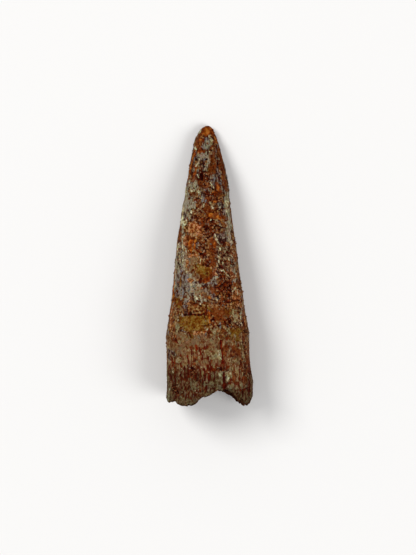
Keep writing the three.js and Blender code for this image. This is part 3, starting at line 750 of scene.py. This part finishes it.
class Wiring:
    """Wires a tree of nodes. Each call adds nodes and gives back what the last one puts out."""

    def __init__(self, tree):
        self.tree = tree

    def add(self, kind, inputs, output=0, **settings):
        node = self.tree.nodes.new(kind)
        for setting, value in settings.items():
            setattr(node, setting, value)
        for socket, value in inputs.items():
            if isinstance(value, bpy.types.NodeSocket):
                self.tree.links.new(value, node.inputs[socket])
            else:
                node.inputs[socket].default_value = value
        return node.outputs[output]

    def kept(self, name, vector=False):
        """A number, or three, kept for every point of the mesh."""
        kind = "FLOAT_VECTOR" if vector else "FLOAT"
        return self.add("GeometryNodeInputNamedAttribute", {"Name": name}, data_type=kind)

    def keep(self, geometry, name, value, domain="POINT"):
        sockets = {"Geometry": geometry, "Name": name, "Value": value}
        settings = {"data_type": "FLOAT", "domain": domain}
        return self.add("GeometryNodeStoreNamedAttribute", sockets, **settings)

    def math(self, operation, *values):
        return self.add("ShaderNodeMath", dict(enumerate(values)), operation=operation)

    def times(self, first, *others):
        """The product of its values."""
        for other in others:
            first = self.math("MULTIPLY", first, other)
        return first

    def plus_part(self, value, part, total):
        """A total with a part of a value added to it."""
        return self.math("MULTIPLY_ADD", value, part, total)

    def rest(self, share):
        """What a share leaves of the whole."""
        return self.math("SUBTRACT", 1.0, share)

    def centred(self, chance):
        """Chance from 0 to 1, moved to lie about 0."""
        return self.math("SUBTRACT", chance, 0.5)

    def vector(self, operation, *values):
        return self.add("ShaderNodeVectorMath", dict(enumerate(values)), operation=operation)

    def scaled(self, vector, size):
        return self.add("ShaderNodeVectorMath", {0: vector, "Scale": size}, operation="SCALE")

    def split(self, vector):
        return self.add("ShaderNodeSeparateXYZ", {0: vector}).node.outputs

    def ramp(self, value, start, end, low=0.0, high=1.0, ease="SMOOTHSTEP"):
        """Eases from low to high as the value goes from start to end."""
        limits = {"Value": value, "From Min": start, "From Max": end, "To Min": low, "To Max": high}
        return self.add("ShaderNodeMapRange", limits, interpolation_type=ease)

    def noise(self, where, size, seed=0.0, detail=3.0, output=0):
        """Smooth chance from 0 to 1, whose lumps are about one size across."""
        sizes = {"Vector": where, "W": seed, "Scale": 1 / size, "Detail": detail}
        sizes["Roughness"] = FINE_SHARE
        return self.add("ShaderNodeTexNoise", sizes, output, noise_dimensions="4D")

    def cells(self, where, size):
        """Uneven sand grains: how far the nearest one's middle is, and that one's own colour."""
        bend = self.scaled(self.noise(where, size, detail=1.0, output="Color"), size)
        uneven = {"Vector": self.vector("ADD", where, bend), "Scale": 1 / size}
        return self.add("ShaderNodeTexVoronoi", uneven).node.outputs

    def lay_out(self):
        """What relief and colours share: places on the tooth, its root and the root's grooves."""
        self.here = self.kept("place", vector=True)
        self.rod = self.kept("rod", vector=True)
        self.back = self.kept("from_tip")
        self.streaks = self.drawn_out(STREAKS)
        self.wander = self.centred(self.noise(self.here, BORDER_BENDS, seed=5.0))
        border = self.plus_part(self.wander, BORDER_WANDER, self.back)
        self.root = self.ramp(border, ROOT_FROM, ROOT_TO)
        groove = self.noise(self.drawn_out(GROOVES), GROOVE_SPACING, seed=9.0, detail=2.0)
        self.from_groove = self.math("ABSOLUTE", self.centred(groove))

    def drawn_out(self, share):
        """Places on the rod for grain that is drawn out along the tooth."""
        return self.vector("MULTIPLY", self.rod, (1.0, share, 1.0))

    def places_for(self, mark):
        return self.streaks if mark.streaky else self.here

    def likely(self, number, kind, mark):
        """How likely a mark is to cover the skin: it does above one half."""
        rare = self.ramp(self.root, 0.0, 1.0, -mark.rare[0], -mark.rare[1])
        bias = self.ramp(self.kept(kind), mark.fade, -mark.fade, rare, mark.sure, ease="LINEAR")
        lumps = self.noise(self.places_for(mark), mark.lump, seed=number * NEXT_SEED)
        return self.math("ADD", lumps, bias)

    def covered(self, likely, mark):
        return self.ramp(likely, 0.5 - mark.soft, 0.5 + mark.soft)


def new_tree(name, sizes):
    """An empty Geometry Nodes tree with a named input for each size."""
    tree = bpy.data.node_groups.new(name, "GeometryNodeTree")
    tree.is_modifier = True
    tree.interface.new_socket("Geometry", in_out="INPUT", socket_type="NodeSocketGeometry")
    tree.interface.new_socket("Geometry", in_out="OUTPUT", socket_type="NodeSocketGeometry")
    for size, value in sizes.items():
        socket = tree.interface.new_socket(size, in_out="INPUT", socket_type="NodeSocketFloat")
        socket.default_value = value
    return Wiring(tree), tree.nodes.new("NodeGroupInput").outputs


def finish_tree(wire, geometry, material):
    geometry = wire.add("GeometryNodeRealizeInstances", {"Geometry": geometry})
    geometry = wire.add("GeometryNodeSetMaterial", {"Geometry": geometry, "Material": material})
    output = wire.tree.nodes.new("NodeGroupOutput")
    wire.tree.links.new(geometry, output.inputs[0])


def run_tree(thing, wire, sizes):
    """Runs a tree on an object, with its sizes, and leaves the object a plain mesh."""
    modifier = thing.modifiers.new(wire.tree.name, "NODES")
    modifier.node_group = wire.tree
    for socket in wire.tree.interface.items_tree:
        if socket.in_out == "INPUT" and socket.name in sizes:
            modifier[socket.identifier] = float(sizes[socket.name])
    mesh = as_plain_mesh(thing, thing.name)
    thing.modifiers.remove(modifier)
    thing.data = mesh


fossil_finish = bpy.data.materials.new("iron-stained fossil")
relief_sizes = {
    "seed": 3.0,
    "unevenness": 0.25,
    "roughness": 0.16,
    "groove depth": 0.12,
    "lump height": 0.16,
    "pit depth": 0.15,
    "break jag": 0.45,
}
relief, given = new_tree("weathered relief", relief_sizes)
relief.lay_out()

SWELL_SIZE = 2.6
ROUGH_SIZE = 0.5
swell = relief.centred(relief.noise(relief.here, SWELL_SIZE, given["seed"]))
rough = relief.centred(relief.noise(relief.here, ROUGH_SIZE, given["seed"]))
lift = relief.times(swell, given["unevenness"])
lift = relief.plus_part(rough, given["roughness"], lift)

lump = relief.math("SUBTRACT", 0.5, relief.cells(relief.here, CRUST_GRAIN)["Distance"])
lump = relief.times(lump, given["lump height"])
sandy = 0.0
for number, (kind, mark) in enumerate(marks.items()):
    covered = relief.covered(relief.likely(number, kind, mark), mark)
    if mark.granular:
        lift = relief.plus_part(covered, lump, lift)
        sandy = relief.math("MAXIMUM", sandy, covered)
    else:
        sandy = relief.times(sandy, relief.rest(covered))
    lift = relief.plus_part(covered, mark.height, lift)

outside = relief.rest(relief.kept("inside"))
groove = relief.times(relief.ramp(relief.from_groove, GROOVE_EDGE, 0.0), relief.root, outside)
lift = relief.math("SUBTRACT", lift, relief.times(groove, given["groove depth"]))

PIT_SIZE = 0.5
PITTED = (0.3, 0.22)
pitted = relief.ramp(relief.noise(relief.here, PIT_SIZE, seed=40.0, detail=1.0), *PITTED)
lift = relief.math("SUBTRACT", lift, relief.times(pitted, given["pit depth"]))
geometry = relief.keep(given["Geometry"], "pits", pitted)
geometry = relief.keep(geometry, "sandy", sandy)
shift = relief.scaled(relief.add("GeometryNodeInputNormal", {}), relief.times(lift, MM))

# The broken rim is eaten away in places, up the tooth, and stands out a little elsewhere.
JAG_REACH = 1.6
JAGS = 0.15
JAG_SIZE = 0.8
JAGGED = (0.42, 0.7)
STANDS_OUT = -0.2
at_break = relief.ramp(relief.kept("to_break"), JAG_REACH, 0.0)
jag = relief.noise(relief.drawn_out(JAGS), JAG_SIZE, given["seed"])
jag = relief.ramp(jag, *JAGGED, low=STANDS_OUT)
jag = relief.times(jag, given["break jag"], at_break, MM)
shift = relief.vector("ADD", shift, relief.add("ShaderNodeCombineXYZ", {"Y": jag}))
moved = relief.vector("ADD", relief.add("GeometryNodeInputPosition", {}), shift)

# Nothing sinks into the table.
x, y, z = relief.split(moved)
above_table = {"X": x, "Y": y, "Z": relief.math("MAXIMUM", z, 0.0)}
moved = relief.add("ShaderNodeCombineXYZ", above_table)
geometry = relief.add("GeometryNodeSetPosition", {"Geometry": geometry, "Position": moved})
geometry = relief.add("GeometryNodeSetShadeSmooth", {"Geometry": geometry})
finish_tree(relief, geometry, fossil_finish)
run_tree(fossil, relief, relief_sizes)

# ------------------------------------------------------------------ the tooth: its colours
# Bare dentine is tan on the root and brown on the crown. The marks lie over it one by one, each
# with its own mottling. Then come fine lines that comb the root's end, the pits, the cavity's
# lining, painted shade and light in bands along the tooth, and the slight tints that burial
# left over everything.

FLECK_SIZE = 0.28
GRAIN_GAPS = (0.45, 0.7)  # from a sand grain's middle, in grains: where its dark edge lies


def paint(red, green, blue):
    """A colour from a paint chart's 0 to 255 numbers, for a shader."""
    chart = np.array([red, green, blue]) / 255
    linear = np.where(chart <= 0.04045, chart / 12.92, ((chart + 0.055) / 1.055) ** 2.4)
    return (*linear.tolist(), 1.0)


class Paint(Wiring):
    """Wires a material. Its colours are laid over one another like coats of paint."""

    def __init__(self, finish):
        finish.use_nodes = True
        super().__init__(finish.node_tree)

    def kept(self, name, vector=False):
        output = "Vector" if vector else "Fac"
        return self.add("ShaderNodeAttribute", {}, output, attribute_name=name)

    def lay_out(self):
        """Adds what only the colours use: three chances for each fleck."""
        super().lay_out()
        flecks = self.cells(self.here, FLECK_SIZE)["Color"]
        self.tones = self.add("ShaderNodeSeparateColor", {0: flecks}).node.outputs

    def dyed(self, value, colours, start=0.0, end=1.0):
        """A row of colours, spread evenly over the values from start to end."""
        node = self.add("ShaderNodeValToRGB", {0: value}).node
        stops = node.color_ramp.elements
        while len(stops) < len(colours):
            stops.new(0.5)
        step = (end - start) / (len(colours) - 1)
        for number, colour in enumerate(colours):
            stops[number].position = start + number * step
            stops[number].color = paint(*colour)
        return node.outputs[0]

    def mottled(self, where, colours, seed, grain=0.4, spread=0.09, flecks=0.17):
        """A row of colours in soft lumps, broken up into flecks of its neighbours."""
        tone = self.centred(self.tones[seed % 3])
        lumps = self.noise(where, grain, float(seed), detail=2.5)
        return self.dyed(self.plus_part(tone, flecks, lumps), colours, 0.5 - spread, 0.5 + spread)

    def sanded(self, where, size, colours):
        """Sand grains, each one of a row of colours, with dark gaps between them."""
        cells = self.cells(where, size)
        which = self.add("ShaderNodeSeparateColor", {0: cells["Color"]})
        gaps = self.ramp(cells["Distance"], *GRAIN_GAPS)
        return self.coat(self.dyed(which, colours), paint(*colours[0]), gaps)

    def coat(self, under, over, cover, blend="MIX"):
        sockets = {"Factor": cover, 6: under, 7: over}
        settings = {"data_type": "RGBA", "blend_type": blend}
        return self.add("ShaderNodeMix", sockets, 2, **settings)

    def blend(self, under, over, cover):
        return self.add("ShaderNodeMix", {0: cover, 2: under, 3: over}, data_type="FLOAT")

    def finish(self, colour, gloss, height, depth, strength, shine):
        """Joins the last coat, the gloss and a bump of fine grain to the material."""
        bump = {"Height": height, "Distance": depth * MM, "Strength": strength}
        ends = {"Base Color": colour, "Roughness": gloss}
        ends["Normal"] = self.add("ShaderNodeBump", bump)
        shader = self.tree.nodes["Principled BSDF"]
        for socket, value in ends.items():
            self.tree.links.new(value, shader.inputs[socket])
        shader.inputs["Specular IOR Level"].default_value = shine


coats = Paint(fossil_finish)
coats.lay_out()
here = coats.here
back = coats.back
to_break = coats.kept("to_break")

# Bare dentine.
ROOT_TAN = ((78, 34, 10), (100, 62, 33), (111, 83, 55), (119, 97, 71), (136, 119, 91))
CROWN_BROWN = ((44, 10, 0), (80, 36, 6), (98, 56, 20), (110, 76, 40), (134, 110, 78))
ROOT_GRAIN = 0.6
root_grain = coats.drawn_out(ROOT_GRAIN)
root_tan = coats.mottled(root_grain, ROOT_TAN, seed=51, grain=0.35, spread=0.13, flecks=0.2)
crown_brown = coats.mottled(here, CROWN_BROWN, seed=52, spread=0.12, flecks=0.2)
colour = coats.coat(crown_brown, root_tan, coats.root)

# The root's grooves hold rust, here and there.
GROOVE_RUST = paint(78, 24, 6)
GROOVE_FLOOR = 0.015
RUST_SIZE = 0.8
RUSTED = (0.42, 0.5)
groove = coats.times(coats.ramp(coats.from_groove, GROOVE_EDGE, GROOVE_FLOOR), coats.root)
rusted = coats.ramp(coats.noise(coats.streaks, RUST_SIZE, seed=53.0), *RUSTED)
colour = coats.coat(colour, GROOVE_RUST, coats.times(groove, rusted))

# A narrow rim of fresh cream dentine lies along the break.
RIM_CREAM = ((84, 60, 34), (112, 86, 54), (138, 116, 84))
RIM_WIDTH = (1.0, 0.8)
RIM_WANDER = 1.2  # how much of that width comes and goes along the rim
RIM_BENDS = 0.6
rim = coats.plus_part(coats.noise(here, RIM_BENDS, seed=58.0), RIM_WANDER, to_break)
rim = coats.ramp(rim, *RIM_WIDTH)
colour = coats.coat(colour, coats.mottled(here, RIM_CREAM, seed=59), rim)

# The marks, one kind over another, some with dirt and painted shade caught round their edges.
DIRT_AND_SHADE = paint(34, 8, 2)
EDGE_DIRT_AND_SHADE_BAND = (0.44, 0.49)
covers = {}
for number, (kind, mark) in enumerate(marks.items()):
    likely = coats.likely(number, kind, mark)
    if mark.outline:
        outline = coats.ramp(likely, *EDGE_DIRT_AND_SHADE_BAND, high=mark.outline)
        colour = coats.coat(colour, DIRT_AND_SHADE, outline)
    covers[kind] = coats.times(coats.covered(likely, mark), mark.strength)
    if mark.granular:
        own = coats.sanded(here, CRUST_GRAIN, mark.colours)
    else:
        mottling = {"grain": mark.grain, "spread": mark.spread, "flecks": mark.flecks}
        own = coats.mottled(coats.places_for(mark), mark.colours, seed=60 + number, **mottling)
    colour = coats.coat(colour, own, covers[kind])

# The root's end is combed by fine dark and pale lines that run up it, between its marks.
COMB_WANDER = 8.0
COMBED = (33.0, 36.5)
COMB_STRENGTH = 0.88
COMB_LINES = 0.16
LINE_SIZE = 0.18
DARK_LINES = (0.54, 0.59)
PALE_LINES = (0.45, 0.39)
combed = coats.plus_part(coats.wander, COMB_WANDER, back)
combed = coats.ramp(combed, *COMBED, high=COMB_STRENGTH)
for kind in ("umber", "bone", "amber", "chips", "cracks", "hollows"):
    combed = coats.times(combed, coats.rest(covers[kind]))
lines = coats.noise(coats.drawn_out(COMB_LINES), LINE_SIZE, seed=61.0)
for limits, stain in ((DARK_LINES, paint(84, 22, 3)), (PALE_LINES, paint(128, 108, 78))):
    colour = coats.coat(colour, stain, coats.times(coats.ramp(lines, *limits), combed))

# Pits are darkened with painted shade, and dark dentine, with painted shade in it, lines the cavity.
PIT_SHADE = 0.8
LINING_AND_SHADE = ((66, 28, 14), (92, 46, 22), (122, 76, 44), (78, 40, 22))
colour = coats.coat(colour, DIRT_AND_SHADE, coats.times(coats.kept("pits"), PIT_SHADE))
colour = coats.coat(colour, coats.mottled(here, LINING_AND_SHADE, seed=54, grain=0.5), coats.kept("inside"))

# Painted shade darkens the root's end. It starts lower down on the right side, but not along its edge.
RIGHT_SIDE = (1.8, 3.6)
RIGHT_EDGE = (5.0, 6.2)
STARTS_LOWER = 2.6
STARTS_HIGHER = 3.0
END_SHADE_WANDER = 3.0
across = coats.split(here)["X"]
end_shade_measure = coats.math("SUBTRACT", back, coats.ramp(across, *RIGHT_SIDE, high=STARTS_LOWER))
end_shade_measure = coats.math("ADD", end_shade_measure, coats.ramp(across, *RIGHT_EDGE, high=STARTS_HIGHER))
end_shade_measure = coats.plus_part(coats.wander, END_SHADE_WANDER, end_shade_measure)
# The rows paint shade and light into the colour in bands: darker at the root's end, lighter from 14 mm
# back, darker again down the root and beside the break.
SHADES = (  # what is measured, where the shade starts and is full, and how light it leaves it
    (end_shade_measure, 35.2, 37.6, 0.54),
    (back, 12.0, 14.0, 1.13),
    (back, 26.0, 33.5, 0.87),
    (to_break, 1.4, 0.3, 0.8),
)
light = 1.0
for measured, start, full, lightness in SHADES:
    light = coats.times(light, coats.ramp(measured, start, full, 1.0, lightness))

# A slight tint wanders over everything, about a balance of red, green and blue.
DEPTH = 1.24  # more is a deeper colour
BALANCE = (1.49, 1.64, 1.69)
TINT = 1.0
TINT_SIZE = 0.5
tint = coats.noise(here, TINT_SIZE, seed=57.0, detail=2.0, output="Color")
tint = coats.vector("ADD", coats.scaled(tint, TINT), tuple(part - TINT / 2 for part in BALANCE))
colour = coats.add("ShaderNodeGamma", {"Color": colour, "Gamma": DEPTH})
# The painted shade and light of those bands multiply in with the tint.
colour = coats.coat(colour, coats.scaled(tint, light), 1.0, blend="MULTIPLY")

# Enamel and iron stains are smoother than bare dentine, and sand and crust are rougher.
DENTINE_ROUGHNESS = 0.68
MARK_ROUGHNESS = {
    "enamel": 0.45,
    "bone": 0.55,
    "lilac": 0.42,
    "ochre": 0.85,
    "amber": 0.45,
    "sand": 0.75,
    "crust": 0.75,
}
PATCH_SIZE = 0.3
PATCHINESS = 0.4
gloss = DENTINE_ROUGHNESS
for kind, roughness in MARK_ROUGHNESS.items():
    gloss = coats.blend(gloss, roughness, covers[kind])
patchy = coats.centred(coats.noise(here, PATCH_SIZE, seed=55.0))
gloss = coats.plus_part(patchy, PATCHINESS, gloss)

# The finest grain is round on the crown and drawn out into fine grooves on the root.
GRAIN_SIZE = 0.2
FINE_GROOVE_SPACING = 0.25
ROOT_SHARE = 0.6
grain = coats.noise(here, GRAIN_SIZE, seed=56.0)
fine_grooves = coats.drawn_out(GROOVES)
fine_grooves = coats.noise(fine_grooves, FINE_GROOVE_SPACING, seed=57.0, detail=2.0)
height = coats.blend(grain, fine_grooves, coats.times(coats.root, ROOT_SHARE))
coats.finish(colour, gloss, height, depth=0.16, strength=1.0, shine=0.02)

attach(fossil, "root")
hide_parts("tooth")

# ------------------------------------------------------------------ the sand grains
# Loose-looking quartz and iron grains, half sunk in the crust, where the sand that buried the
# tooth stayed cemented to it. A few line the pulp cavity. They are scattered by chance.

GRAIN_SUBDIVISIONS = 1  # of the twenty-sided ball that each grain is
ABOVE_TABLE = (0.3, 0.5)  # grains thin out between these heights
BEHIND_RIM = (0.3, 1.0)  # and those in the cavity between these distances from its rim
grain_sizes = {
    "seed": 8.0,
    "grains per square millimetre": 7.0,
    "share in the cavity": 0.35,
    "smallest": 0.07,
    "largest": 0.15,
}
scatter, given = new_tree("scattered grains", grain_sizes)

height = scatter.split(scatter.add("GeometryNodeInputPosition", {}))["Z"]
off_table = scatter.ramp(height, *(limit * MM for limit in ABOVE_TABLE))
inside = scatter.kept("inside")
off_rim = scatter.ramp(scatter.kept("to_break"), *BEHIND_RIM)
cavity = scatter.times(inside, given["share in the cavity"], off_rim)
crusted = scatter.times(scatter.rest(inside), scatter.kept("sandy"))
density = scatter.times(
    scatter.math("ADD", crusted, cavity),
    off_table,
    given["grains per square millimetre"],
    1 / MM**2,
)
spots = {"Mesh": given["Geometry"], "Density": density, "Seed": given["seed"]}
spots = scatter.add("GeometryNodeDistributePointsOnFaces", spots)


def by_chance(kind, low, high, seed):
    """A random number, or three, for each grain."""
    first, output = {"FLOAT": (2, 1), "FLOAT_VECTOR": (0, 0)}[kind]
    limits = {first: low, first + 1: high, "Seed": seed}
    return scatter.add("FunctionNodeRandomValue", limits, output, data_type=kind)


ball = {"Radius": 1.0, "Subdivisions": GRAIN_SUBDIVISIONS}
ball = scatter.add("GeometryNodeMeshIcoSphere", ball)
NARROWEST = (0.7, 0.7, 0.7)  # each way, against the grain's size
WIDEST = (1.3, 1.3, 1.3)
NO_TURN = (0.0, 0.0, 0.0)
FULL_TURN = (math.tau, math.tau, math.tau)
size = scatter.times(by_chance("FLOAT", given["smallest"], given["largest"], seed=1), MM)
shape = scatter.scaled(by_chance("FLOAT_VECTOR", NARROWEST, WIDEST, seed=2), size)
turn = by_chance("FLOAT_VECTOR", NO_TURN, FULL_TURN, seed=3)
grains = {"Points": spots, "Instance": ball, "Rotation": turn, "Scale": shape}
grains = scatter.add("GeometryNodeInstanceOnPoints", grains)
grains = scatter.keep(grains, "tone", by_chance("FLOAT", 0.0, 1.0, seed=4), domain="INSTANCE")
grains = scatter.add("GeometryNodeRealizeInstances", {"Geometry": grains})
grains = scatter.add("GeometryNodeSetShadeSmooth", {"Geometry": grains})
grain_finish = bpy.data.materials.new("cemented sand")
finish_tree(scatter, grains, grain_finish)
sand_grains = place(fossil.data.copy(), "sand_grains")
run_tree(sand_grains, scatter, grain_sizes)

# Each grain has one colour, with a little red-brown dust over it, and more in the cavity.
GRAIN_COLOURS = (
    (44, 8, 0),
    (84, 34, 8),
    (104, 50, 16),
    (120, 76, 40),
    (146, 120, 86),
    (92, 76, 64),
)
VARIED = 0.9  # share of the grains that the row is spread over; the rest have its last colour
DUST = paint(90, 44, 16)
DUST_SIZE = 0.12
DUSTY = (0.45, 0.65)
MOST_DUST = 0.5
CAVITY_DUST = 0.75
GLOSS_SIZE = 0.1
FACET_SIZE = 0.05
coats = Paint(grain_finish)
here = coats.kept("place", vector=True)
colour = coats.dyed(coats.kept("tone"), GRAIN_COLOURS, end=VARIED)
dust = coats.noise(here, DUST_SIZE, seed=71.0, detail=2.0)
dust = coats.ramp(dust, *DUSTY, high=MOST_DUST)
dust = coats.math("MAXIMUM", dust, coats.times(coats.kept("inside"), CAVITY_DUST))
colour = coats.coat(colour, DUST, dust)
gloss = coats.noise(here, GLOSS_SIZE, seed=72.0, detail=2.0)
gloss = coats.ramp(gloss, 0.35, 0.65, low=0.35, high=0.75)
facets = coats.noise(here, FACET_SIZE, seed=73.0, detail=2.0)
coats.finish(colour, gloss, facets, depth=0.03, strength=0.8, shine=0.1)

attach(sand_grains, "root")

# ------------------------------------------------------------------ the table it lies on
# A plain pale surface, much larger than the tooth, and a hair lower than the flats that the
# tooth rests on, so that the two don't lie in one plane.

TABLE_SIZE = 4.0
TABLE_GAP = 0.02
half = TABLE_SIZE / 2
table_corners = [(-half, -half, 0), (half, -half, 0), (half, half, 0), (-half, half, 0)]
table_mesh = bpy.data.meshes.new("table")
table_mesh.from_pydata(table_corners, [], [(0, 1, 2, 3)])
table = place(table_mesh, "table")
table.location.z = -TABLE_GAP * MM
table_finish = bpy.data.materials.new("pale table")
table_finish.use_nodes = True
table_shader = table_finish.node_tree.nodes["Principled BSDF"]
table_shader.inputs["Base Color"].default_value = (0.74, 0.73, 0.71, 1)
table_shader.inputs["Roughness"].default_value = 0.9
table_mesh.materials.append(table_finish)

# ------------------------------------------------------------------ light and camera
# Soft light from all round, a little stronger from the upper left. The camera looks straight
# down through a long lens.


def soft_light(name, spot, size, power):
    """A round lamp that shines at the tooth."""
    lamp = bpy.data.lights.new(name, "AREA")
    lamp.shape = "DISK"
    lamp.size = size
    lamp.energy = power
    light = bpy.data.objects.new(name, lamp)
    light.location = spot
    light.rotation_euler = (-Vector(spot)).to_track_quat("-Z", "Y").to_euler()
    bpy.context.scene.collection.objects.link(light)


soft_light("key", spot=(-1.14, 0.72, 1.44), size=1.02, power=28.0)
soft_light("fill", spot=(1.26, -0.60, 1.32), size=1.20, power=19.0)

surroundings = bpy.data.worlds.new("pale room")
surroundings.use_nodes = True
background = surroundings.node_tree.nodes["Background"]
background.inputs["Color"].default_value = (0.95, 0.96, 1.0, 1)
background.inputs["Strength"].default_value = 0.5
bpy.context.scene.world = surroundings
bpy.context.scene.view_settings.view_transform = "Standard"

LENS = 400.0
SENSOR = 36.0
VIEW_HEIGHT = 83.0
AIM = (-0.22, -1.72, 4.5)
camera_data = bpy.data.cameras.new("camera")
camera_data.lens = LENS
camera_data.sensor_width = SENSOR
camera_data.clip_start = 0.01
camera = bpy.data.objects.new("camera", camera_data)
distance = VIEW_HEIGHT * LENS / SENSOR
camera.location = Vector((AIM[0], AIM[1], AIM[2] + distance)) * MM
bpy.context.scene.collection.objects.link(camera)
bpy.context.scene.camera = camera
